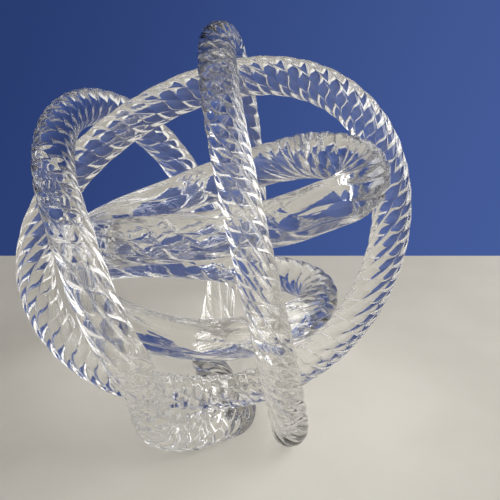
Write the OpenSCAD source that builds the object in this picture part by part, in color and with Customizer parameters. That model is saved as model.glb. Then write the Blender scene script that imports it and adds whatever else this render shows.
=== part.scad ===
// Glass rope sculpture: five loops of ribbed, twisted solid glass rope, bent round each other into an open ball
// and fused where they touch. It rests on the undersides of the tall loop and the left loop.
// X runs to the right, Y away from the front and Z up, in millimetres.

/* [Rope] */
// Ribs round every rope
ribs = 8; // [5:1:10]
// Depth of the groove between two ribs
groove = 1; // [0.4:0.1:1.6]
// Gap left at the closest point of two fused ropes
fuse_gap = 0.2; // [0.15:0.05:0.5]
// Depth of the flat where a loop lies on the table
flat = 0.8; // [0.4:0.1:1.5]

/* [Front ring] */
// Rope diameter over the ribs
ring_rope = 15; // [12:0.5:18]
// Long way across, on the centre line
ring_long = 146; // [130:1:165]
// Short way across, on the centre line
ring_short = 120; // [108:1:135]
// Backward lean of the top, degrees
ring_lean = 17; // [10:1:25]
// Rise of the long way towards the right, degrees
ring_slope = 29; // [20:1:38]
// Turn about the upright, degrees
ring_turn = 5; // [0:1:10]
// Lift of both ends of the long way
ring_lift = 3.5; // [0:0.5:6]
// Forward bow of both ends of the long way
ring_bow = 5.5; // [0:0.5:8]
// Rib steps of twist in one round
ring_lay = 42; // [30:1:56]

/* [Upper loop] */
// Rope diameter over the ribs
upper_rope = 18; // [15:0.5:20]
// Rib steps of twist in one round
upper_lay = 20; // [10:1:32]

/* [Lower loop] */
// Rope diameter over the ribs
lower_rope = 15.5; // [13:0.5:18]
// Side to side on the centre line, before it is let out to the ring
lower_long = 100; // [90:1:110]
// Front to back on the centre line, before it is let out to the ring
lower_short = 77; // [68:1:86]
// Place to the left of the ring's middle
lower_aside = 6; // [0:0.5:10]
// Place behind the ring's middle
lower_back = 3; // [-2:1:8]
// Depth below the ring's middle
lower_drop = 25; // [20:1:30]
// Fall of the right end, degrees
lower_slope = 4; // [0:1:8]
// Turn about the upright, degrees
lower_turn = -5; // [-10:1:0]
// Upward bow of the two ends
lower_bow = 3; // [0:0.5:5]
// Rib steps of twist in one round
lower_lay = 21; // [10:1:32]

/* [Tall loop] */
// Rope diameter over the ribs
tall_rope = 14.5; // [12:0.5:17]
// Front to back on the centre line, before it is drawn round the others
tall_deep = 125; // [118:1:136]
// Height on the centre line, before it is drawn round the others
tall_high = 160; // [150:1:170]
// Place to the right of the ring's middle
tall_aside = 16; // [10:1:22]
// Place behind the ring's middle
tall_back = 21; // [16:1:26]
// Lean of the top to the left, degrees
tall_lean = 9; // [4:1:14]
// Rake of the top towards the front, degrees
tall_rake = 9; // [4:1:14]
// Skew of the oval
tall_skew = 4; // [0:0.5:6]
// Sideways wave of the loop
tall_wave = 3; // [0:0.5:5]
// How far the oval is pressed in where it lies on the table
tall_press = 6; // [3:0.5:9]
// Rib steps of twist in one round
tall_lay = 34; // [20:1:48]

/* [Left loop] */
// Rope diameter over the ribs
left_rope = 16; // [13:0.5:18]
// Rib steps of twist in one round
left_lay = 32; // [20:1:44]

/* [Hidden] */
glass = [0.86, 0.9, 0.93, 0.5];

// Points round a centre line when gaps are measured, and rings of each rope
fine = 160;
ring_rings = 112;
tall_rings = 84;
left_rings = 96;
upper_rings = 84;
lower_rings = 60;

// Smallest and largest size tried when a loop is let out or drawn up, and the number of halvings
smallest = 0.8;
largest = 1.2;
halvings = 12;

// Softness of the bend where a loop comes down on the table
soft = 1.5;

// Turn of the tall loop, which faces sideways
sideways = -90;

// Route of the upper loop from the ring's middle: round the right end, which hooks in front of the ring, then along
// the back, round the left end and along the front.
upper_route = [
    [54, -24, 29], [54, -16, 32], [48, -7, 33], [38, 6, 31], [30, 22, 26], [17, 41, 18], [-5, 47, 9], [-27, 38, 2],
    [-43, 21, -1], [-48, 1, -1], [-40, -17, 3], [-22, -25, 7], [-4, -24, 8], [12, -21, 10], [26, -24, 14],
    [38, -29, 20], [49, -29, 25]
];

// Route of the left loop from the ring's middle: up the front, over the top, down the back, then along the table.
// Heights are above the centre line's rest height.
left_route = [
    [-48, -30, 90], [-57, -11, 108], [-59, 13, 120], [-53, 41, 122], [-41, 69, 112], [-26, 85, 93], [-12, 87, 69],
    [0, 77, 43], [-2, 60, 16], [-6, 42, 0], [1, 19, 0], [9, -4, 0], [-7, -17, 0], [-21, -29, 10],
    [-23, -43, 34], [-36, -43, 63]
];

// Left-hand and right-hand twist, and the share by which the twist is uneven with the place where it is tightest
left_handed = -1;
right_handed = 1;
ring_uneven = [0.15, -45];
tall_uneven = [0.45, 10];
left_uneven = [0.45, 125];
upper_uneven = [0.4, 90];
lower_uneven = [0.2, 90];

function rest(rope) = rope / 2 - flat;

function turned(p, a) =
    let (
        x = [p.x, p.y * cos(a.x) - p.z * sin(a.x), p.y * sin(a.x) + p.z * cos(a.x)],
        y = [x.x * cos(a.y) + x.z * sin(a.y), x.y, x.z * cos(a.y) - x.x * sin(a.y)]
    )
    [y.x * cos(a.z) - y.y * sin(a.z), y.x * sin(a.z) + y.y * cos(a.z), y.z];

function moved(line, by) = [for (p = line) p + by];

function lowest(line) = min([for (p = line) p.z]);

// Bends a centre line flat at its rest height, as hot glass settles on a table
function settled(line, low) = [
    for (p = line)
        let (over = p.z - low)
        [p.x, p.y, low + (over + sqrt(over * over + 4 * soft * soft)) / 2]
];

// Gap between two ropes, less the gap of a fused pair
function spare(a, b, rope_a, rope_b) =
    min([for (p = a) min([for (q = b) norm(p - q)])]) - (rope_a + rope_b) / 2 - fuse_gap;

// The size nearest to tight at which a loop still clears its neighbours
function fitted(clears, tight, loose, steps = halvings) =
    let (middle = (tight + loose) / 2)
    steps == 0 ? loose
    : clears(middle) ? fitted(clears, tight, middle, steps - 1)
    : fitted(clears, middle, loose, steps - 1);

// Centre lines as points round each loop, which starts at its right or front end
function ring_oval(n) = [
    for (i = [0:n - 1])
        let (t = 360 * i / n)
        turned(
            [
                ring_long / 2 * cos(t),
                -ring_bow * cos(2 * t),
                ring_short / 2 * sin(t) + ring_lift * cos(2 * t)
            ],
            [-ring_lean, -ring_slope, ring_turn]
        )
];

ring_high = max(left_rope, tall_rope) - flat + fuse_gap + ring_rope / 2 - lowest(ring_oval(fine));

function ring_line(n) = moved(ring_oval(n), [0, 0, ring_high]);

function lower_line(n, size) = [
    for (i = [0:n - 1])
        let (t = 360 * i / n)
        [-lower_aside, lower_back, ring_high - lower_drop] + size * turned(
            [
                lower_long / 2 * cos(t),
                lower_short / 2 * sin(t),
                lower_bow * cos(2 * t)
            ],
            [0, lower_slope, lower_turn]
        )
];

function tall_oval(n, size) = [
    for (i = [0:n - 1])
        let (t = 360 * i / n)
        [tall_aside, tall_back, 0] + size * turned(
            [
                tall_deep / 2 * cos(t) - tall_skew * sin(2 * t),
                -tall_wave * sin(2 * t),
                tall_high / 2 * sin(t) + tall_skew * sin(2 * t)
            ],
            [tall_lean, -tall_rake, sideways]
        )
];

function tall_line(n, size) =
    let (
        oval = tall_oval(n, size),
        up = rest(tall_rope) - tall_press - lowest(tall_oval(fine, size))
    )
    settled(moved(oval, [0, 0, up]), rest(tall_rope));

// Smooth closed curve through the points of a route
function through(route, n) =
    let (count = len(route))
    [
        for (i = [0:n - 1])
            let (
                at = i * count / n,
                k = floor(at),
                s = at - k,
                p0 = route[(k + count - 1) % count],
                p1 = route[k],
                p2 = route[(k + 1) % count],
                p3 = route[(k + 2) % count]
            )
            p1 + s / 2 * (p2 - p0 + s * (2 * p0 - 5 * p1 + 4 * p2 - p3 + s * (3 * p1 - 3 * p2 + p3 - p0)))
    ];

function upper_line(n, size) = [for (p = through(upper_route, n)) [0, 0, ring_high] + size * p];

function centre(line) = [for (p = line) 1] * line / len(line);

function left_line(n, size) =
    let (
        right_end = max([for (p = left_route) p.x]),
        pivot = [right_end, centre(left_route).y, 0],
        curve = [for (p = through(left_route, n)) [p.x, p.y, max(p.z, 0)]]
    )
    moved([for (p = curve) pivot + size * (p - pivot)], [0, 0, rest(left_rope)]);

// Each loop is let out or drawn up until it lies against the loops before it
ring = ring_line(fine);
upper_size = fitted(
    function (size) spare(upper_line(fine, size), ring, upper_rope, ring_rope) > 0,
    largest, smallest
);
upper = upper_line(fine, upper_size);
lower_size = fitted(
    function (size)
        let (lower = lower_line(fine, size))
        spare(lower, ring, lower_rope, ring_rope) > 0 && spare(lower, upper, lower_rope, upper_rope) > 0,
    largest, smallest
);
lower = lower_line(fine, lower_size);
tall_size = fitted(
    function (size)
        let (tall = tall_line(fine, size))
        spare(tall, ring, tall_rope, ring_rope) > 0
        && spare(tall, upper, tall_rope, upper_rope) > 0
        && spare(tall, lower, tall_rope, lower_rope) > 0,
    smallest, largest
);
tall = tall_line(fine, tall_size);
left_size = fitted(
    function (size)
        let (left = left_line(fine, size))
        spare(left, ring, left_rope, ring_rope) > 0
        && spare(left, upper, left_rope, upper_rope) > 0
        && spare(left, lower, left_rope, lower_rope) > 0
        && spare(left, tall, left_rope, tall_rope) > 0,
    smallest, largest
);
left = left_line(fine, left_size);

// The origin lies on the table under the middle of the whole
reach = [[ring, ring_rope], [upper, upper_rope], [lower, lower_rope], [tall, tall_rope], [left, left_rope]];
function end(axis, side) = max([for (r = reach) max([for (p = r[0]) side * p[axis]]) + r[1] / 2]);
function half_way(axis) = (end(axis, 1) - end(axis, -1)) / 2;
origin = [half_way(0), half_way(1), 0];
wide = end(0, 1) + end(0, -1);
deep = end(1, 1) + end(1, -1);

function unit(v) = v / norm(v);

// A closed ribbed rope along a centre line, with its ribs wound round it
module rope(line, diameter, lay, hand, uneven) {
    n = len(line);
    sides = 2 * ribs;
    middle = centre(line);
    points = [
        for (i = [0:n - 1])
            let (
                along = unit(line[(i + 1) % n] - line[(i + n - 1) % n]),
                away = line[i] - middle,
                out = unit(away - (away * along) * along),
                side = cross(along, out),
                round = 360 * i / n,
                wound = hand * lay / ribs * (round + uneven[0] * 180 / PI * sin(round - uneven[1]))
            )
            for (j = [0:sides - 1])
                let (
                    angle = wound + 360 * j / sides,
                    radius = diameter / 2 - (j % 2) * groove
                )
                line[i] + radius * (cos(angle) * out + sin(angle) * side) - origin
    ];
    faces = [
        for (i = [0:n - 1])
            let (shift = i == n - 1 ? 2 * hand * lay + 2 * sides * lay : 0)
            for (j = [0:sides - 1])
                let (
                    a = i * sides + j,
                    b = i * sides + (j + 1) % sides,
                    c = (i + 1) % n * sides + (j + 1 + shift) % sides,
                    d = (i + 1) % n * sides + (j + shift) % sides
                )
                each hand > 0 ? [[a, d, b], [b, d, c]] : [[a, d, c], [a, c, b]]
    ];
    polyhedron(points, faces);
}

// Cuts a loop flat where it lies on the table
module stood() {
    difference() {
        children();
        translate([-wide, -deep, -ring_high])
            cube([2 * wide, 2 * deep, ring_high]);
    }
}

module front_ring() {
    color(glass)
        rope(ring_line(ring_rings), ring_rope, ring_lay, right_handed, ring_uneven);
}

module tall_loop() {
    color(glass)
        stood()
            rope(tall_line(tall_rings, tall_size), tall_rope, tall_lay, left_handed, tall_uneven);
}

module left_loop() {
    color(glass)
        stood()
            rope(left_line(left_rings, left_size), left_rope, left_lay, left_handed, left_uneven);
}

module upper_loop() {
    color(glass)
        rope(upper_line(upper_rings, upper_size), upper_rope, upper_lay, right_handed, upper_uneven);
}

module lower_loop() {
    color(glass)
        rope(lower_line(lower_rings, lower_size), lower_rope, lower_lay, right_handed, lower_uneven);
}

front_ring();
tall_loop();
left_loop();
upper_loop();
lower_loop();
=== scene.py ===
# %% [markdown]
# # A sculpture of glass rope
# Five loops of solid clear glass rope are bent round each other into an open ball and fused where they
# touch. Each rope was drawn hot from a ribbed gather and twisted, so its ribs wind round it like the
# strands of a cord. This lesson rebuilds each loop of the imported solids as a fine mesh, from the same
# sizes. It gives the ropes glass that bends light, and shows them on a pale floor in front of a plain
# blue wall.

# %% The frame
import math
from collections import namedtuple

import bpy
import numpy as np
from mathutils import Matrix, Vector


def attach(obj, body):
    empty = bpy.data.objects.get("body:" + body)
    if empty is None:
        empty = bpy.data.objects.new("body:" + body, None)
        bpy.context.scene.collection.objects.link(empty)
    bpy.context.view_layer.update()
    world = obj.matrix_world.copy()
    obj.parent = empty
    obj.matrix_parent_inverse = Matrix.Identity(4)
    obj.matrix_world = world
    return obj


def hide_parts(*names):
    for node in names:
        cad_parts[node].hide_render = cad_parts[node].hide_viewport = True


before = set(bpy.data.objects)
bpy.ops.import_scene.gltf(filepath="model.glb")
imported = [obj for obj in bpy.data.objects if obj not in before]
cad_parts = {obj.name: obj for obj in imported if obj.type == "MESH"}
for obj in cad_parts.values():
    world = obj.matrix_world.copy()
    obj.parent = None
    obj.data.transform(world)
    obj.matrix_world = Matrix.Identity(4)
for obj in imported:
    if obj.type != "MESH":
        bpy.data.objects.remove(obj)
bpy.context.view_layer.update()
MM = 0.001
print("nodes in the frame:", ", ".join(sorted(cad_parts)))

# %% [markdown]
# ## Values that the loops share
# A rope is known by its diameter over the ribs and by the number of its ribs. Where a loop lies on the
# floor, the hot glass settled and has a small flat. Each value could be typed where it is used, but then
# a change would be made in five places. So they stand here once, in millimetres, the same as in the
# solids.

# %% Rope values
RIBS = 8
RING_ROPE, UPPER_ROPE, LOWER_ROPE, TALL_ROPE, LEFT_ROPE = 15, 18, 15.5, 14.5, 16
FUSE_GAP = 0.2
FLAT = 0.8
MEASURED_POINTS = 160


def rest_height(rope):
    """Height of a centre line whose rope lies on the floor."""
    return rope / 2 - FLAT


def round_the_loop(n):
    """Even steps once round a loop, in radians."""
    return 2 * np.pi * np.arange(n) / n


print("ropes of", RING_ROPE, UPPER_ROPE, LOWER_ROPE, TALL_ROPE, LEFT_ROPE, "mm with", RIBS, "ribs")

# %% [markdown]
# ## Turning a shape
# In the workshop a loop is bent flat and then leaned over into its place. Objects can be rotated for
# this, but the loops have to be measured against each other before any object exists. So the points
# themselves are turned, with one small matrix for each axis.

# %% Turning a shape
def turned(points, lean, slope, turn):
    """Turns points about X, then Y, then Z, by angles in degrees."""
    a, b, c = np.radians([lean, slope, turn])
    about_x = np.array([[1, 0, 0], [0, np.cos(a), -np.sin(a)], [0, np.sin(a), np.cos(a)]])
    about_y = np.array([[np.cos(b), 0, np.sin(b)], [0, 1, 0], [-np.sin(b), 0, np.cos(b)]])
    about_z = np.array([[np.cos(c), -np.sin(c), 0], [np.sin(c), np.cos(c), 0], [0, 0, 1]])
    return points @ (about_z @ about_y @ about_x).T


print("X turned a quarter about Z is", turned(np.array([[1.0, 0, 0]]), 0, 0, 90).round(3)[0])

# %% [markdown]
# ## Centre line of the front ring
# The ring is the large loop that faces the viewer, and it holds the two lying loops inside it. A
# hand-bent loop is close to an oval. A small wave that runs twice round it gives the lift and the bow
# that the heat and the hand left in it. A curve drawn by eye would do as well, but a formula keeps the
# same few sizes as the solids. The ring rests on the two loops that lie on the floor, which gives its
# height.

# %% Front ring
RING_LONG, RING_SHORT, RING_LIFT, RING_BOW = 146, 120, 3.5, 5.5
RING_TURNS = (-17, -29, 5)


def ring_oval(n):
    t = round_the_loop(n)
    across = RING_LONG / 2 * np.cos(t)
    forward = -RING_BOW * np.cos(2 * t)
    up = RING_SHORT / 2 * np.sin(t) + RING_LIFT * np.cos(2 * t)
    return turned(np.stack([across, forward, up], axis=1), *RING_TURNS)


ring_low = max(LEFT_ROPE, TALL_ROPE) - FLAT + FUSE_GAP + RING_ROPE / 2
RING_HIGH = ring_low - ring_oval(MEASURED_POINTS)[:, 2].min()


def ring_line(n):
    return ring_oval(n) + [0, 0, RING_HIGH]


print("the ring's middle is", round(RING_HIGH, 1), "mm above the floor")

# %% [markdown]
# ## Centre line of the lower loop
# The lower loop lies inside the ring, nearly level, and is the smallest of the five. It is an oval again,
# with a slight saddle. It is let out later until it touches a loop round it. Scaling the finished object
# would do that too, but it would also make the rope thicker, so the size goes into the formula of the
# centre line.

# %% Lower loop
LOWER_LONG, LOWER_SHORT, LOWER_BOW = 100, 77, 3
LOWER_PLACE, LOWER_TURNS = (-6, 3, -25), (0, 4, -5)


def lower_line(n, size):
    t = round_the_loop(n)
    across = LOWER_LONG / 2 * np.cos(t)
    back = LOWER_SHORT / 2 * np.sin(t)
    up = LOWER_BOW * np.cos(2 * t)
    oval = np.stack([across, back, up], axis=1)
    return size * turned(oval, *LOWER_TURNS) + LOWER_PLACE + [0, 0, RING_HIGH]


print("the lower loop is about", LOWER_LONG, "by", LOWER_SHORT, "mm")

# %% [markdown]
# ## Centre line of the tall loop
# The tall loop stands upright, crosses in front of the ring and reaches the highest point of the ball. It
# is a skewed oval. Its foot lies on the floor for a short way, because the glass was still soft when it
# was set down. Cutting the oval off level would leave a kink there, so its height is bent softly towards
# the height of rest.

# %% Tall loop
TALL_DEEP, TALL_HIGH, TALL_SKEW, TALL_WAVE, TALL_PRESS = 125, 160, 4, 3, 6
TALL_PLACE, TALL_TURNS = (16, 21, 0), (9, -9, -90)
SOFT_BEND = 1.5


def tall_oval(n, size):
    t = round_the_loop(n)
    along = TALL_DEEP / 2 * np.cos(t) - TALL_SKEW * np.sin(2 * t)
    up = TALL_HIGH / 2 * np.sin(t) + TALL_SKEW * np.sin(2 * t)
    oval = np.stack([along, -TALL_WAVE * np.sin(2 * t), up], axis=1)
    return size * turned(oval, *TALL_TURNS) + TALL_PLACE


def tall_line(n, size):
    """The tall oval, pressed flat where it settled on the floor."""
    low = rest_height(TALL_ROPE)
    lowest_point = tall_oval(MEASURED_POINTS, size)[:, 2].min()
    line = tall_oval(n, size) + [0, 0, low - TALL_PRESS - lowest_point]
    over = line[:, 2] - low
    line[:, 2] = low + (over + np.sqrt(over ** 2 + 4 * SOFT_BEND ** 2)) / 2
    return line


print("the tall loop is about", TALL_DEEP, "by", TALL_HIGH, "mm")

# %% [markdown]
# ## A smooth closed curve
# Two of the loops turn in ways that no oval does. Each follows a route of a few chosen points. Straight
# pieces between them would show corners in the glass, and a curve object needs two handles at every
# point. A curve that takes its direction at each point from the two neighbours passes through all points
# and needs nothing more.

# %% A smooth closed curve
def smooth_through(route, n):
    """A closed curve through the points of a route."""
    count = len(route)
    at = np.arange(n) * count / n
    k = np.floor(at).astype(int)
    s = (at - k)[:, None]
    p0, p1, p2, p3 = route[k - 1], route[k], route[(k + 1) % count], route[(k + 2) % count]
    cubic = 3 * p1 - 3 * p2 + p3 - p0
    square = 2 * p0 - 5 * p1 + 4 * p2 - p3
    return p1 + s / 2 * (p2 - p0 + s * (square + s * cubic))


small_square = np.array([[0, 0, 0], [1, 0, 0], [1, 1, 0], [0, 1, 0]], float)
print("a smooth way round a square:", smooth_through(small_square, 8).round(2)[:, :2].tolist())

# %% [markdown]
# ## Centre line of the upper loop
# The upper loop is the thickest rope. It lies inside the ring, and its right end hooks out in front of
# it. An oval would run straight through the ring there, so this loop follows a route. Its points are
# measured from the ring's middle, and the loop moves along if the ring's height changes.

# %% Upper loop
UPPER_ROUTE = np.array([
    [54, -24, 29], [54, -16, 32], [48, -7, 33], [38, 6, 31], [30, 22, 26], [17, 41, 18],
    [-5, 47, 9], [-27, 38, 2], [-43, 21, -1], [-48, 1, -1], [-40, -17, 3], [-22, -25, 7],
    [-4, -24, 8], [12, -21, 10], [26, -24, 14], [38, -29, 20], [49, -29, 25],
], float)


def upper_line(n, size):
    return size * smooth_through(UPPER_ROUTE, n) + [0, 0, RING_HIGH]


print("the upper loop's route has", len(UPPER_ROUTE), "points")

# %% [markdown]
# ## Centre line of the left loop
# The left loop leans over the left side of the ring, and its foot lies along the floor under the ball.
# The soft press of the tall loop would be too short for this foot, so its points lie on the floor
# themselves: their heights are counted from where a rope lies at rest. A smooth curve can swing a little
# below its points, and what would sink into the floor is held at 0. The loop is drawn up towards the side
# of its foot, so that the foot hardly moves.

# %% Left loop
LEFT_ROUTE = np.array([
    [-48, -30, 90], [-57, -11, 108], [-59, 13, 120], [-53, 41, 122], [-41, 69, 112], [-26, 85, 93],
    [-12, 87, 69], [0, 77, 43], [-2, 60, 16], [-6, 42, 0], [1, 19, 0], [9, -4, 0],
    [-7, -17, 0], [-21, -29, 10], [-23, -43, 34], [-36, -43, 63],
], float)


def left_line(n, size):
    pivot = np.array([LEFT_ROUTE[:, 0].max(), LEFT_ROUTE[:, 1].mean(), 0])
    curve = smooth_through(LEFT_ROUTE, n)
    curve[:, 2] = np.maximum(curve[:, 2], 0)
    return pivot + size * (curve - pivot) + [0, 0, rest_height(LEFT_ROPE)]


print("the left loop's route has", len(LEFT_ROUTE), "points")

# %% [markdown]
# ## Letting out and drawing up
# In the workshop each loop is bent until it touches the ones before it, and then they fuse. The same idea
# gives the sizes here. A loop inside the ring is let out, and a loop round the outside is drawn up, until
# the gap at its closest point is the small gap of a fused pair. The size could be solved for with
# algebra, but halving the range a dozen times is short, and it works for any shape of loop.

# %% Measuring the gap of two ropes
def spare(line_a, rope_a, line_b, rope_b):
    """Gap between two ropes, less the gap of a fused pair."""
    apart = np.linalg.norm(line_a[:, None] - line_b[None], axis=2).min()
    return apart - (rope_a + rope_b) / 2 - FUSE_GAP


placed = [(ring_line(MEASURED_POINTS), RING_ROPE)]
unfitted = upper_line(MEASURED_POINTS, 1)
to_spare = spare(unfitted, UPPER_ROPE, *placed[0])
print("before fitting, the upper loop has", round(to_spare, 2), "mm to spare")

# %% Fitting the loops to each other
SMALLEST, LARGEST, HALVINGS = 0.8, 1.2, 12


def fitted(make_line, rope, tight, loose):
    """The size nearest to tight at which a loop still clears the loops in place."""
    for _ in range(HALVINGS):
        middle = (tight + loose) / 2
        line = make_line(MEASURED_POINTS, middle)
        clear = all(spare(line, rope, other, other_rope) > 0 for other, other_rope in placed)
        tight, loose = (tight, middle) if clear else (middle, loose)
    return loose


def put_in_place(make_line, rope, tight, loose):
    """Fits a loop, adds it to the loops in place, and gives its size."""
    size = fitted(make_line, rope, tight, loose)
    placed.append((make_line(MEASURED_POINTS, size), rope))
    return size


upper_size = put_in_place(upper_line, UPPER_ROPE, LARGEST, SMALLEST)
lower_size = put_in_place(lower_line, LOWER_ROPE, LARGEST, SMALLEST)
tall_size = put_in_place(tall_line, TALL_ROPE, SMALLEST, LARGEST)
left_size = put_in_place(left_line, LEFT_ROPE, SMALLEST, LARGEST)
print("sizes:", *(round(size, 4) for size in (upper_size, lower_size, tall_size, left_size)))

# %% [markdown]
# ## The middle of the whole
# The solids have their origin on the floor, under the middle of the box round all five ropes, and the
# loops here were built round the ring's middle. The box of the finished mesh could be used to move them,
# but its ribs differ a little from those of the solids. So the box is measured round plain round ropes,
# as it is for the solids.

# %% The middle of the whole
lowest = np.min([line.min(0) - rope / 2 for line, rope in placed], axis=0)
highest = np.max([line.max(0) + rope / 2 for line, rope in placed], axis=0)
ORIGIN = np.array([*(lowest + highest)[:2] / 2, 0])
print("the origin lies under", ORIGIN.round(2))

# %% [markdown]
# ## Twist
# The lay of a rope is the number of rib steps that its twist makes on the way round a loop. A whole
# number lets the ribs meet again where the loop closes. Hot glass doesn't twist evenly: it gives most
# where it is softest. So each loop has a few tight places. Each is four values: how much tighter the ribs
# wind there, its angle round the loop, how short it is, and the share of the grooves' depth that is left.
# The tilt of a curve object could twist a rope too, but then every point of the curve would need a tilt
# of its own.

# %% Winding the ribs
TightPlace = namedtuple("TightPlace", "tighter angle shortness depth_left")


def near(turn, angle, shortness):
    """1 at an angle round a loop, falling to 0 on both sides of it."""
    return ((1 + np.cos(turn - math.radians(angle))) / 2) ** shortness


def winding(turn, lay, tight_places):
    """Rib steps of twist at each of the angles round a loop, adding up to its lay."""
    rate = np.ones(len(turn))
    for tight in tight_places:
        rate += tight.tighter * near(turn, tight.angle, tight.shortness)
    return rate * lay / rate.sum()


def groove_depths(turn, groove, tight_places):
    """Depth of the grooves at each of the angles round a loop."""
    depth = np.full(len(turn), groove)
    for tight in tight_places:
        depth *= 1 - (1 - tight.depth_left) * near(turn, tight.angle, tight.shortness)
    return depth


print("a place of shortness 4 is", round(near(math.radians(45), 0, 4), 2), "as strong 45 degrees away")

# %% [markdown]
# ## Where the rings of points go
# The mesh of a rope is a row of rings, each a closed line of points round the rope. Evenly spaced rings
# would be too few where the ribs wind tightly and more than needed elsewhere. So the distance to the next
# ring counts both the way along the rope and the twist, and the mesh is finer exactly where the ribs turn
# fast.

# %% Spacing the rings
STEP_ALONG = 0.9
STEP_ROUND = 0.25


def lengths_along(line):
    """Length of a closed line up to each of its points, and its whole length."""
    ahead = np.linalg.norm(np.roll(line, -1, 0) - line, axis=1)
    return np.cumsum(ahead) - ahead, ahead.sum()


def ring_places(line, lay, tight_places):
    """Points of the centre line for the rings, with their angles round the loop and their rib steps."""
    run, length = lengths_along(line)
    turn = 2 * np.pi * run / length
    each = winding(turn, lay, tight_places)
    steps = np.cumsum(each) - each
    measure = run / STEP_ALONG + steps / STEP_ROUND
    whole = length / STEP_ALONG + lay / STEP_ROUND
    n = round(whole)
    at = np.arange(n) * whole / n
    columns = [np.interp(at, measure, values) for values in (*line.T, turn, steps)]
    return np.stack(columns[:3], axis=1), columns[3], columns[4]


print("a ring of points every", STEP_ALONG, "mm or less")

# %% [markdown]
# ## Section of a rope
# Cut across, the rope is a circle with eight narrow grooves. The ribs between them are broad, as on rope
# drawn from a ribbed mould. A cosine would make ribs and grooves alike. A power of the distance from the
# crest keeps the crest round and the groove narrow.

# %% Section of a rope
POINTS_PER_RIB = 12
GROOVE_SHARP = 2.5
SIDES = RIBS * POINTS_PER_RIB
profile = round_the_loop(SIDES)


def groove_share(angle):
    """0 on a rib's crest and 1 at the bottom of a groove."""
    from_crest = np.abs((RIBS * angle / (2 * np.pi)) % 1 * 2 - 1)
    return from_crest ** GROOVE_SHARP


print("a rope has", SIDES, "points round it")

# %% [markdown]
# ## A worked join
# Where the ring and the left loop meet at the front, the glass was pressed together hot, and its surface
# is full of small hollows. Sculpting them by hand would be slow, and a Displace modifier would need a map
# of the rope's surface. Two waves that wind round the rope and cross give hollows that only go inwards,
# away from the rope next to it. A join is four values: the depth of its hollows, its angle round the
# loop, how short it is, and how often each wave runs along the loop.

# %% Knobs of a join
WAVES_ROUND = (3, 2)
Join = namedtuple("Join", "depth angle shortness waves_along")


def knobs(angle, turn, waves_along):
    """From -1 in a hollow to 0 on a knob, at angles round the rope and round the loop."""
    first = np.sin(WAVES_ROUND[0] * angle + waves_along[0] * turn)
    second = np.cos(WAVES_ROUND[1] * angle - waves_along[1] * turn)
    return (first * second - 1) / 2


once_round = knobs(profile, 0, (0, 0))
print("knobs reach from", once_round.min().round(2), "to", once_round.max().round(2))

# %% [markdown]
# ## Sweeping a rope
# A curve with a ribbed bevel and a tilt at each point could make such a rope, but its grooves would have
# one depth everywhere and no join, and a Screw modifier only makes straight rope. So each loop is swept
# ring by ring: a ring of points is set across the centre line at each place, turned a little further than
# the one before. What would lie below the floor becomes the small flat.

# %% Directions across a rope
def unit(v):
    return v / np.linalg.norm(v, axis=1, keepdims=True)


def directions_across(line):
    """Two directions across a closed line at each of its points: outwards, and square to that."""
    along = unit(np.roll(line, -1, 0) - np.roll(line, 1, 0))
    away = line - line.mean(0)
    out = unit(away - (away * along).sum(1, keepdims=True) * along)
    return out, np.cross(along, out)


ring_out, ring_side = directions_across(ring_line(MEASURED_POINTS))
print("at its start the ring faces", ring_out[0].round(2), "and", ring_side[0].round(2))

# %% Points of a rope
def rope_points(line, steps, radius, hand, knob_depths, waves_along):
    """Points of a rope as (rings, points in a ring, 3), counted from the origin."""
    out, side = directions_across(line)
    angle = hand * steps[:, None] * 2 * np.pi / RIBS + profile
    turn = round_the_loop(len(line))[:, None]
    radius = radius + knob_depths[:, None] * knobs(angle, turn, waves_along)
    across = np.cos(angle)[..., None] * out[:, None] + np.sin(angle)[..., None] * side[:, None]
    points = line[:, None] + radius[..., None] * across - ORIGIN
    points[..., 2] = np.maximum(points[..., 2], 0)
    return points


straight = np.zeros(MEASURED_POINTS)
plain_radius = np.full((MEASURED_POINTS, SIDES), RING_ROPE / 2)
plain_ring = rope_points(ring_line(MEASURED_POINTS), straight, plain_radius, 1, straight, (0, 0))
print("a plain round ring reaches", plain_ring[..., 2].max().round(1), "mm high")

# %% [markdown]
# ## Faces of a rope
# Each face joins two neighbours in a ring to the same two in the next ring. The tool that bridges edge
# loops could do this, but it would have to be told how far the ribs have turned. At the end of the loop
# they have moved on by the whole lay, so the last ring joins the first one as many ribs further on. That
# closes the mesh without a seam.

# %% Faces of a rope
def rope_faces(n, lay, hand):
    """Four-sided faces between the rings, as numbers of points."""
    i, j = np.meshgrid(np.arange(n), np.arange(SIDES), indexing="ij")
    moved_on = np.where(i == n - 1, hand * lay * POINTS_PER_RIB, 0)
    here, there = i * SIDES, (i + 1) % n * SIDES
    beside = j + 1
    corners = [
        here + j, here + beside % SIDES,
        there + (beside + moved_on) % SIDES, there + (j + moved_on) % SIDES,
    ]
    return np.stack(corners, axis=-1).reshape(-1, 4)


print("three rings would have", len(rope_faces(3, 0, 1)), "faces")

# %% [markdown]
# ## Numbers that travel with the points
# A mesh can carry numbers with its points, and a material can read them. Two travel with each rope: where
# a point lies round its rib, and where it lies along the loop. A UV map could hold them too, but it has a
# seam. Both are stored as a cosine and a sine, which have no jump where the loop closes. The first one
# also says how deep in a groove the point lies.

# %% Storing numbers
def store(mesh, name, values):
    """Stores three numbers with each point of a mesh."""
    attribute = mesh.attributes.new(name, "FLOAT_VECTOR", "POINT")
    attribute.data.foreach_set("vector", values.reshape(-1).astype(np.float32))


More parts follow.
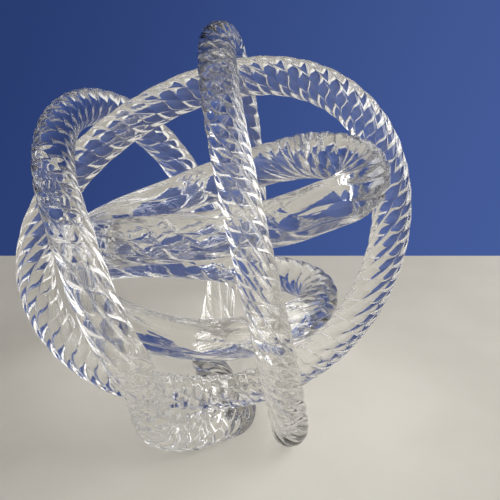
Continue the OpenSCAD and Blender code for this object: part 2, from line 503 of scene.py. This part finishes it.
def store_places(mesh, turn):
    """Place round the rib and place along the loop, for every point."""
    shape = (len(turn), SIDES, 3)
    rib = np.stack([np.cos(RIBS * profile), np.sin(RIBS * profile), groove_share(profile)], axis=1)
    run = np.stack([np.cos(turn), np.sin(turn), np.zeros(len(turn))], axis=1)
    store(mesh, "rib_round", np.broadcast_to(rib, shape))
    store(mesh, "loop_run", np.broadcast_to(run[:, None], shape))


print("each point carries rib_round and loop_run")

# %% [markdown]
# ## From points to a piece
# A piece rides on the one body of this rigid object and hides the plain solid that it stands for. All
# five loops are made the same way. The lines could be repeated for each, but with one function the cells
# after it only choose the values.

# %% Making a piece
FINE_POINTS = 6000
NO_JOIN = Join(depth=0, angle=0, shortness=1, waves_along=(0, 0))
pieces = {}


def add_loop(name, line, rope, groove, lay, hand, tight_places, join=NO_JOIN):
    """Makes one loop of rope as a piece, round its centre line."""
    line, turn, steps = ring_places(line, lay, tight_places)
    radius = rope / 2 - groove_depths(turn, groove, tight_places)[:, None] * groove_share(profile)
    knob_depths = join.depth * near(turn, join.angle, join.shortness)
    points = rope_points(line, steps, radius, hand, knob_depths, join.waves_along)
    mesh = bpy.data.meshes.new(name + "_rope")
    mesh.from_pydata(points.reshape(-1, 3) * MM, [], rope_faces(len(line), lay, hand).tolist())
    mesh.polygons.foreach_set("use_smooth", [True] * len(mesh.polygons))
    store_places(mesh, turn)
    mesh.update()
    piece = bpy.data.objects.new(name + "_rope", mesh)
    bpy.context.scene.collection.objects.link(piece)
    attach(piece, "root")
    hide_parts(name)
    pieces[name] = piece
    print(name, "is", round(lengths_along(line)[1]), "mm of rope in", len(mesh.polygons), "faces")


print("a loop is drawn through", FINE_POINTS, "points before its rings are placed")

# %% [markdown]
# ## Rope of the front ring
# The ring's twist is the most even of the five, a little tighter on its right side. Its rope winds to the
# right, like a common screw. At the bottom, over the left loop's foot, it has the finer half of the
# worked join. The join could be a piece of its own, but hollows in the rope keep the ring whole.

# %% Rope of the front ring
RIGHT_HANDED, LEFT_HANDED = 1, -1
RING_RIGHT = TightPlace(tighter=0.35, angle=-45, shortness=1, depth_left=1)
FINE_JOIN = Join(depth=1.6, angle=228, shortness=28, waves_along=(57, 49))

add_loop("front_ring", ring_line(FINE_POINTS), RING_ROPE, groove=0.85, lay=42, hand=RIGHT_HANDED,
         tight_places=[RING_RIGHT], join=FINE_JOIN)

# %% [markdown]
# ## Rope of the tall loop
# This rope was twisted to the left, and most tightly at the front. At the top the flame has softened the
# ribs, so a second place there adds no twist and only takes away depth. Grooves of one depth all round
# would be simpler, but at the top they would break up the smooth blue that shows through the glass.

# %% Rope of the tall loop
TALL_FRONT = TightPlace(tighter=1.6, angle=10, shortness=1, depth_left=1)
TALL_TOP = TightPlace(tighter=0, angle=95, shortness=4, depth_left=0.45)

add_loop("tall_loop", tall_line(FINE_POINTS, tall_size), TALL_ROPE, groove=0.9, lay=40, hand=LEFT_HANDED,
         tight_places=[TALL_FRONT, TALL_TOP])

# %% [markdown]
# ## Rope of the left loop
# The left loop is wound tightly over its arch, where the ribs are nearly smooth, and again at the front
# end of its foot. The foot has the coarser half of the worked join. One even twist would be simpler, but
# then the arch and the foot would look alike, and on the real one they don't.

# %% Rope of the left loop
LEFT_ARCH = TightPlace(tighter=1.7, angle=55, shortness=4, depth_left=0.3)
LEFT_FOOT = TightPlace(tighter=2.2, angle=268, shortness=6, depth_left=0.9)
COARSE_JOIN = Join(depth=1.8, angle=275, shortness=14, waves_along=(31, 26))

add_loop("left_loop", left_line(FINE_POINTS, left_size), LEFT_ROPE, groove=1.0, lay=42, hand=LEFT_HANDED,
         tight_places=[LEFT_ARCH, LEFT_FOOT], join=COARSE_JOIN)

# %% [markdown]
# ## Rope of the upper loop
# On the thick rope the ribs run long and nearly straight along the front. They wind up tightly behind the
# hook at the right, where they meet like the folds of a fan, and a little at the left end. More ribs
# would be a way to fill the front, but the long ribs act as lenses, and a small lay is what gives this
# loop its wide, clear cells.

# %% Rope of the upper loop
UPPER_BACK = TightPlace(tighter=1.2, angle=75, shortness=2, depth_left=0.7)
UPPER_HOOK = TightPlace(tighter=3.5, angle=30, shortness=8, depth_left=0.8)
UPPER_LEFT = TightPlace(tighter=1.2, angle=230, shortness=2, depth_left=1)

add_loop("upper_loop", upper_line(FINE_POINTS, upper_size), UPPER_ROPE, groove=0.8, lay=17,
         hand=RIGHT_HANDED, tight_places=[UPPER_BACK, UPPER_HOOK, UPPER_LEFT])

# %% [markdown]
# ## Rope of the lower loop
# The lower loop is the smoothest rope, with shallow grooves and the fewest rib steps. Behind its right
# end the ribs gather into a fan, as on the upper loop. Plain round rope would nearly do for its front,
# but not for that fan.

# %% Rope of the lower loop
LOWER_FAN = TightPlace(tighter=3.0, angle=50, shortness=2, depth_left=0.7)

add_loop("lower_loop", lower_line(FINE_POINTS, lower_size), LOWER_ROPE, groove=0.7, lay=13,
         hand=RIGHT_HANDED, tight_places=[LOWER_FAN])

# %% [markdown]
# ## Nodes by hand
# The materials below are node trees. They could be drawn in the shader editor, but a script gives the
# same tree on every run. A few small helpers make a node, set its values and join it to others, so that
# each tree reads as a list of steps.

# %% Node helpers
COLOUR_A, COLOUR_B, COLOUR_RESULT = 6, 7, 2


def put(tree, kind, inputs=None, **settings):
    """A new node, with settings on the node and values or links on its inputs."""
    made = tree.nodes.new(kind)
    for key, value in settings.items():
        setattr(made, key, value)
    for key, value in (inputs or {}).items():
        if isinstance(value, bpy.types.NodeSocket):
            tree.links.new(value, made.inputs[key])
        else:
            made.inputs[key].default_value = value
    return made


def ranged(tree, value, low, high):
    """A smooth step from 0 at low to 1 at high."""
    ends = {"Value": value, "From Min": low, "From Max": high}
    return put(tree, "ShaderNodeMapRange", ends, interpolation_type="SMOOTHSTEP").outputs["Result"]


def counted(tree, operation, a, b):
    """The result of one sum with a and b."""
    return put(tree, "ShaderNodeMath", {0: a, 1: b}, operation=operation).outputs[0]


def mixed(tree, factor, a, b):
    """A colour between a and b."""
    ends = {"Factor": factor, COLOUR_A: a, COLOUR_B: b}
    return put(tree, "ShaderNodeMix", ends, data_type="RGBA").outputs[COLOUR_RESULT]


print("a Mix node takes colours at", COLOUR_A, "and", COLOUR_B, "and gives one at", COLOUR_RESULT)

# %% [markdown]
# ## Groups
# All five ropes share some effects. Copying the nodes into each material would work, but a change would
# have to be made five times. A node group is built once, has named inputs, and is placed in each material
# with its own values.

# %% A new group
FLOAT, COLOUR = "NodeSocketFloat", "NodeSocketColor"


def new_group(name, inputs, outputs):
    """A shader node group with named sockets: its tree and its input and output nodes."""
    tree = bpy.data.node_groups.new(name, "ShaderNodeTree")
    for socket, kind in inputs.items():
        tree.interface.new_socket(socket, in_out="INPUT", socket_type=kind)
    for socket, kind in outputs.items():
        tree.interface.new_socket(socket, in_out="OUTPUT", socket_type=kind)
    print("group", name, "takes", ", ".join(inputs), "and gives", ", ".join(outputs))
    return tree, tree.nodes.new("NodeGroupInput"), tree.nodes.new("NodeGroupOutput")


print("sockets are of the kinds", FLOAT, "and", COLOUR)

# %% [markdown]
# ## Lines from the drawing
# Glass that was pulled into rope keeps fine lines along its ribs, which bend the light a little more than
# smooth glass does. As geometry they would need millions of faces, so they are a height for a Bump node.
# A noise with four coordinates makes them: two go round the rib, so the lines are fine across it, and two
# go round the loop, so they are long.

# %% Drawn lines
LINE_SCALE, LINE_DETAIL, LINE_ROUGHNESS = 1.0, 2.0, 0.5
line_values = {"Fineness": FLOAT, "Shortness": FLOAT}
lines, lines_in, lines_out = new_group("drawn_lines", line_values, {"Height": FLOAT})
rib = put(lines, "ShaderNodeAttribute", attribute_name="rib_round")
run = put(lines, "ShaderNodeAttribute", attribute_name="loop_run")
rib_parts = put(lines, "ShaderNodeSeparateXYZ", {0: rib.outputs["Vector"]}).outputs
run_parts = put(lines, "ShaderNodeSeparateXYZ", {0: run.outputs["Vector"]}).outputs
line_place = put(lines, "ShaderNodeCombineXYZ", {
    "X": counted(lines, "MULTIPLY", rib_parts["X"], lines_in.outputs["Fineness"]),
    "Y": counted(lines, "MULTIPLY", rib_parts["Y"], lines_in.outputs["Fineness"]),
    "Z": counted(lines, "MULTIPLY", run_parts["X"], lines_in.outputs["Shortness"]),
})
line_noise = put(lines, "ShaderNodeTexNoise", {
    "Vector": line_place.outputs[0],
    "W": counted(lines, "MULTIPLY", run_parts["Y"], lines_in.outputs["Shortness"]),
    "Scale": LINE_SCALE, "Detail": LINE_DETAIL, "Roughness": LINE_ROUGHNESS,
}, noise_dimensions="4D")
lines.links.new(line_noise.outputs["Fac"], lines_out.inputs["Height"])
print("drawn_lines has", len(lines.nodes), "nodes")

# %% [markdown]
# ## Haze in the grooves
# The ribs were polished by the flame and by hands, and the bottoms of the grooves less so. Fine scratches
# could be modelled, but from a step away they only make the glass a little dull. So the group makes the
# roughness rise in the grooves, in soft patches.

# %% Groove haze
HAZE_SCALE, HAZE_DETAIL, HAZE_EDGES = 90.0, 3.0, (0.3, 0.7)
haze, haze_in, haze_out = new_group("groove_haze", {"Rib": FLOAT, "Groove": FLOAT}, {"Roughness": FLOAT})
haze_rib = put(haze, "ShaderNodeAttribute", attribute_name="rib_round")
haze_depth = put(haze, "ShaderNodeSeparateXYZ", {0: haze_rib.outputs["Vector"]}).outputs["Z"]
haze_at = put(haze, "ShaderNodeTexCoord").outputs["Object"]
haze_values = {"Vector": haze_at, "Scale": HAZE_SCALE, "Detail": HAZE_DETAIL}
haze_noise = put(haze, "ShaderNodeTexNoise", haze_values).outputs["Fac"]
haze_patches = ranged(haze, haze_noise, *HAZE_EDGES)
haze_mix = put(haze, "ShaderNodeMapRange", {
    "Value": counted(haze, "MULTIPLY", haze_depth, haze_patches),
    "To Min": haze_in.outputs["Rib"], "To Max": haze_in.outputs["Groove"],
})
haze.links.new(haze_mix.outputs["Result"], haze_out.inputs["Roughness"])
print("groove_haze has", len(haze.nodes), "nodes")

# %% [markdown]
# ## Cords in the melt
# Clear glass is never quite even: faint cords of slightly warmer and cooler melt run through it. They lie
# inside the glass, and a volume shader could show them, but it would be slow. The colour of the surface
# tints all light that passes, so a colour that drifts between two near whites does nearly the same.

# %% Melt colour
CORD_SCALE, CORD_DETAIL, CORD_EDGES = 25.0, 2.0, (0.35, 0.65)
melt, melt_in, melt_out = new_group("melt_colour", {"Cool": COLOUR, "Warm": COLOUR}, {"Colour": COLOUR})
melt_at = put(melt, "ShaderNodeTexCoord").outputs["Object"]
cord_values = {"Vector": melt_at, "Scale": CORD_SCALE, "Detail": CORD_DETAIL}
cords = put(melt, "ShaderNodeTexNoise", cord_values).outputs["Fac"]
melt_share = ranged(melt, cords, *CORD_EDGES)
melt_mix = mixed(melt, melt_share, melt_in.outputs["Cool"], melt_in.outputs["Warm"])
melt.links.new(melt_mix, melt_out.inputs["Colour"])
print("melt_colour has", len(melt.nodes), "nodes")

# %% [markdown]
# ## Clear glass
# The glass is a Principled shader with full transmission and the bending power of soda glass. A faked
# transparency would be quicker, but only real refraction shows the ribs as bright and dark cells.

# %% Clear glass
GLASS_IOR = 1.5
POLISHED = 0.0
COOL_MELT, WARM_MELT = (0.955, 0.957, 0.95, 1), (0.965, 0.955, 0.935, 1)
LINE_HEIGHT = 0.15 * MM


def rope_glass(name, fineness, shortness, line_strength, groove_haze):
    """Clear glass with the drawn lines and the haze of one rope."""
    material = bpy.data.materials.new(name)
    material.use_nodes = True
    tree = material.node_tree
    shader = tree.nodes["Principled BSDF"]
    shader.inputs["IOR"].default_value = GLASS_IOR
    shader.inputs["Transmission Weight"].default_value = 1
    colour = put(tree, "ShaderNodeGroup", node_tree=melt)
    colour.inputs["Cool"].default_value = COOL_MELT
    colour.inputs["Warm"].default_value = WARM_MELT
    tree.links.new(colour.outputs["Colour"], shader.inputs["Base Color"])
    gloss = put(tree, "ShaderNodeGroup", node_tree=haze)
    gloss.inputs["Rib"].default_value = POLISHED
    gloss.inputs["Groove"].default_value = groove_haze
    tree.links.new(gloss.outputs["Roughness"], shader.inputs["Roughness"])
    drawn = put(tree, "ShaderNodeGroup", node_tree=lines)
    drawn.inputs["Fineness"].default_value = fineness
    drawn.inputs["Shortness"].default_value = shortness
    ends = {"Height": drawn.outputs["Height"], "Strength": line_strength, "Distance": LINE_HEIGHT}
    bump = put(tree, "ShaderNodeBump", ends)
    tree.links.new(bump.outputs["Normal"], shader.inputs["Normal"])
    return material


print("glass with an index of refraction of", GLASS_IOR)

# %% [markdown]
# ## A glass for each rope
# The two slowly wound ropes show their drawn lines most, because nothing else breaks up their long ribs.
# On the tightly wound ropes strong lines would only add noise. One glass for all would be simpler, but it
# would be too rough for one kind of rope or too clean for the other.

# %% A glass for each rope
glasses = {
    "front_ring": rope_glass(
        "ring_glass", fineness=0.5, shortness=6.0, line_strength=0.25, groove_haze=0.015),
    "tall_loop": rope_glass(
        "tall_glass", fineness=0.5, shortness=5.0, line_strength=0.1, groove_haze=0.015),
    "left_loop": rope_glass(
        "left_glass", fineness=0.5, shortness=5.0, line_strength=0.1, groove_haze=0.015),
    "upper_loop": rope_glass(
        "upper_glass", fineness=0.9, shortness=5.0, line_strength=0.8, groove_haze=0.01),
    "lower_loop": rope_glass(
        "lower_glass", fineness=0.9, shortness=5.0, line_strength=0.7, groove_haze=0.01),
}
for name, glass in glasses.items():
    pieces[name].data.materials.append(glass)
print("glasses:", ", ".join(glass.name for glass in glasses.values()))

# %% [markdown]
# ## The floor
# The ball stands on a plain pale floor. A Plane primitive would do, but its far edge has to lie exactly
# where the wall begins to show, so the four corners are given one by one. The other edges are far away,
# out of the glass's sight.

# %% Floor
FLOOR_FAR_EDGE = 0.187
FLOOR_NEAR_EDGE = -4.0
FLOOR_HALF_WIDTH = 4.0
floor_mesh = bpy.data.meshes.new("floor")
floor_mesh.from_pydata([
    (-FLOOR_HALF_WIDTH, FLOOR_NEAR_EDGE, 0), (FLOOR_HALF_WIDTH, FLOOR_NEAR_EDGE, 0),
    (FLOOR_HALF_WIDTH, FLOOR_FAR_EDGE, 0), (-FLOOR_HALF_WIDTH, FLOOR_FAR_EDGE, 0),
], [], [(0, 1, 2, 3)])
floor = bpy.data.objects.new("floor", floor_mesh)
bpy.context.scene.collection.objects.link(floor)
print("floor reaches", FLOOR_FAR_EDGE, "m behind the middle")

# %% [markdown]
# ## Finish of the floor
# A single flat colour looks like a cut-out. A faint mottle and a little grain make it a surface, and both
# are weak enough that nothing competes with the glass. An image texture could do this, but a noise needs
# no file.

# %% Floor finish
PALE_LOW, PALE_HIGH = (0.585, 0.555, 0.495, 1), (0.625, 0.595, 0.535, 1)
FLOOR_DULL = 0.75
MOTTLE_SCALE, MOTTLE_DETAIL, MOTTLE_EDGES = 18.0, 3.0, (0.3, 0.7)
GRAIN_SCALE, GRAIN_DETAIL, GRAIN_STRENGTH, GRAIN_HEIGHT = 900.0, 1.0, 0.3, 0.1 * MM
pale_floor = bpy.data.materials.new("pale_floor")
pale_floor.use_nodes = True
floor_tree = pale_floor.node_tree
floor_shader = floor_tree.nodes["Principled BSDF"]
floor_shader.inputs["Roughness"].default_value = FLOOR_DULL
floor_at = put(floor_tree, "ShaderNodeTexCoord").outputs["Object"]
mottle_values = {"Vector": floor_at, "Scale": MOTTLE_SCALE, "Detail": MOTTLE_DETAIL}
mottle = put(floor_tree, "ShaderNodeTexNoise", mottle_values).outputs["Fac"]
tone = mixed(floor_tree, ranged(floor_tree, mottle, *MOTTLE_EDGES), PALE_LOW, PALE_HIGH)
grain_values = {"Vector": floor_at, "Scale": GRAIN_SCALE, "Detail": GRAIN_DETAIL}
grain = put(floor_tree, "ShaderNodeTexNoise", grain_values).outputs["Fac"]
grain_ends = {"Height": grain, "Strength": GRAIN_STRENGTH, "Distance": GRAIN_HEIGHT}
floor_bump = put(floor_tree, "ShaderNodeBump", grain_ends)
floor_tree.links.new(tone, floor_shader.inputs["Base Color"])
floor_tree.links.new(floor_bump.outputs["Normal"], floor_shader.inputs["Normal"])
floor_mesh.materials.append(pale_floor)
print("floor finish:", pale_floor.name)

# %% [markdown]
# ## The wall
# Glass shows what is round it, so the room matters more than the lamps. Behind the ball is a plain blue
# wall with painted light on it: it is a little lighter to the right, towards the window, and lower down,
# and darker at the upper left. It could be a mesh, but then it would also tint the floor. In the world it
# is a colour that depends on the direction of a ray: X to the right, Y away from the viewer and Z up.

# %% Wall
# Painted light: the window on the right lights the wall, so its colour runs from shaded at the upper left
# to lit at the lower right.
WALL_SHADED_LEFT, WALL_LIT_RIGHT = (0.020, 0.042, 0.155, 1), (0.062, 0.112, 0.335, 1)
WALL_SHADE, WALL_SLANT = (-0.45, 0.62), -0.4
WALL_AHEAD, WALL_FOOT, WALL_TOP = (0.65, 0.8), (-0.46, -0.44), (0.75, 0.45)
world = bpy.data.worlds.new("room")
bpy.context.scene.world = world
world.use_nodes = True
room_tree = world.node_tree
room_tree.nodes.clear()
direction = put(room_tree, "ShaderNodeTexCoord").outputs["Generated"]
x, y, z = put(room_tree, "ShaderNodeSeparateXYZ", {0: direction}).outputs
wall_shift = counted(room_tree, "ADD", x, counted(room_tree, "MULTIPLY", z, WALL_SLANT))
wall = mixed(room_tree, ranged(room_tree, wall_shift, *WALL_SHADE), WALL_SHADED_LEFT, WALL_LIT_RIGHT)
wall_mask = ranged(room_tree, y, *WALL_AHEAD)
wall_mask = counted(room_tree, "MULTIPLY", wall_mask, ranged(room_tree, z, *WALL_FOOT))
wall_mask = counted(room_tree, "MULTIPLY", wall_mask, ranged(room_tree, z, *WALL_TOP))
print("wall from", WALL_SHADED_LEFT[:3], "to", WALL_LIT_RIGHT[:3])

# %% [markdown]
# ## The rest of the room
# At the sides the room is grey, with a dim ceiling, and it is bright behind the viewer, where daylight
# comes in. Thin bright lines in the ribs are that daylight. Below the level of the floor the ribs look
# past its far edge, into a paler room that is lightest at the left. A photographed room as a world image
# would be richer, but these few tones are all that the glass needs.

# %% Room
ROOM, CEILING = (0.09, 0.09, 0.10, 1), (0.13, 0.135, 0.16, 1)
BEHIND_VIEWER = (0.98, 0.95, 0.90, 1)
UNDER, UNDER_LEFT = (0.40, 0.385, 0.35, 1), (0.97, 0.95, 0.89, 1)
CEILING_EDGES, BEHIND_EDGES = (0.55, 0.85), (-0.15, -0.5)
LEFT_EDGES, UNDER_EDGES = (0.25, -0.05), (0.0, -0.05)
upper_room = mixed(room_tree, ranged(room_tree, z, *CEILING_EDGES), ROOM, CEILING)
upper_room = mixed(room_tree, ranged(room_tree, y, *BEHIND_EDGES), upper_room, BEHIND_VIEWER)
under = mixed(room_tree, ranged(room_tree, x, *LEFT_EDGES), UNDER, UNDER_LEFT)
room = mixed(room_tree, ranged(room_tree, z, *UNDER_EDGES), upper_room, under)
seen = mixed(room_tree, wall_mask, room, wall)
print("room of", ROOM[:3], "with a ceiling of", CEILING[:3])

# %% [markdown]
# ## Who sees the room
# The camera sees the room, and so do rays that the glass reflects or bends. Light that falls on the floor
# comes from a plain neutral room instead, so that the blue wall doesn't tint it. The Light Path node
# tells these rays apart. Two worlds can't be used at once, so one world mixes both.

# %% Light of the room
ROOM_LIGHT = (0.39, 0.385, 0.38, 1)
HALF_A_BOUNCE = 0.5
path = put(room_tree, "ShaderNodeLightPath").outputs
shown = counted(room_tree, "MAXIMUM", path["Is Camera Ray"], path["Is Glossy Ray"])
shown = counted(room_tree, "MAXIMUM", shown, path["Is Transmission Ray"])
not_from_floor = counted(room_tree, "LESS_THAN", path["Diffuse Depth"], HALF_A_BOUNCE)
shown = counted(room_tree, "MULTIPLY", shown, not_from_floor)
room_colour = mixed(room_tree, shown, ROOM_LIGHT, seen)
background = put(room_tree, "ShaderNodeBackground", {"Color": room_colour})
put(room_tree, "ShaderNodeOutputWorld", {"Surface": background.outputs[0]})
print("world:", world.name, "with", len(room_tree.nodes), "nodes")

# %% [markdown]
# ## Lamps
# A wide soft lamp on the right stands for a window. Real glass throws bright patches under itself, which
# take very many samples to trace. So a second lamp beside it casts no shadow, and stands for the light
# that the ball lets through.

# %% Window light
def soft_lamp(name, place, target, size, power, shadow):
    """A wide lamp that faces a target and stays out of the camera's sight."""
    lamp = bpy.data.lights.new(name, "AREA")
    lamp.shape = "RECTANGLE"
    lamp.size, lamp.size_y = size
    lamp.energy = power
    lamp.use_shadow = shadow
    made = bpy.data.objects.new(name, lamp)
    made.location = place
    made.rotation_euler = (Vector(target) - Vector(place)).to_track_quat("-Z", "Y").to_euler()
    made.visible_camera = False
    bpy.context.scene.collection.objects.link(made)
    print(name, "has", power, "W")


soft_lamp("window", place=(0.52, -0.1, 0.42), target=(0, 0, 0.05),
          size=(0.55, 0.45), power=2.7, shadow=True)
soft_lamp("through_light", place=(0.50, -0.16, 0.44), target=(0, 0, 0),
          size=(0.4, 0.4), power=0.9, shadow=False)

# %% [markdown]
# ## Light under the ball
# The ball gathers light and brightens the floor inside and under it. A weak spot lamp from above gives
# that glow, with a soft edge so that no disc shows. It casts no shadow, and the glass doesn't show it,
# because there is no such lamp in a real room.

# %% Light under the ball
SPOT_POWER, SPOT_ANGLE, SPOT_HEIGHT, SPOT_SOFT = 4, 26, 0.6, 1
spot = bpy.data.objects.new("under_light", bpy.data.lights.new("under_light", "SPOT"))
spot.data.energy = SPOT_POWER
spot.data.spot_size = math.radians(SPOT_ANGLE)
spot.data.spot_blend = SPOT_SOFT
spot.data.use_shadow = False
spot.location = (0, 0, SPOT_HEIGHT)
spot.visible_camera = False
spot.visible_glossy = False
spot.visible_transmission = False
bpy.context.scene.collection.objects.link(spot)
print(spot.name, "has", SPOT_POWER, "W")

# %% [markdown]
# ## Camera
# The camera stands a little above the ball and looks slightly down, close enough for the near loops to
# look larger. A longer lens from further away would flatten the ball.

# %% Camera
CAMERA_PLACE = (0.0155, -0.2844, 0.176)
CAMERA_TILT, CAMERA_ANGLE = 70, 39.31
scene = bpy.context.scene
camera = bpy.data.objects.new("camera", bpy.data.cameras.new("camera"))
camera.location = CAMERA_PLACE
camera.rotation_euler = (math.radians(CAMERA_TILT), 0, 0)
camera.data.angle = math.radians(CAMERA_ANGLE)
scene.collection.objects.link(camera)
scene.camera = camera
scene.view_settings.view_transform = "Standard"
print("camera at", CAMERA_PLACE)

# %% [markdown]
# ## How far light is followed
# A ray that enters a rope can meet glass dozens of times before it leaves the ball. With the usual limits
# it is given up too soon, and the bends turn black. Brighter lamps can't make up for that, so the limits
# are raised. A reflection inside the glass counts as glossy and has a limit of its own.

# %% Bounces
MOST_BOUNCES, MOST_REFLECTIONS = 48, 12
scene.cycles.max_bounces = MOST_BOUNCES
scene.cycles.transmission_bounces = MOST_BOUNCES
scene.cycles.glossy_bounces = MOST_REFLECTIONS
print("light is followed for", MOST_BOUNCES, "bounces")
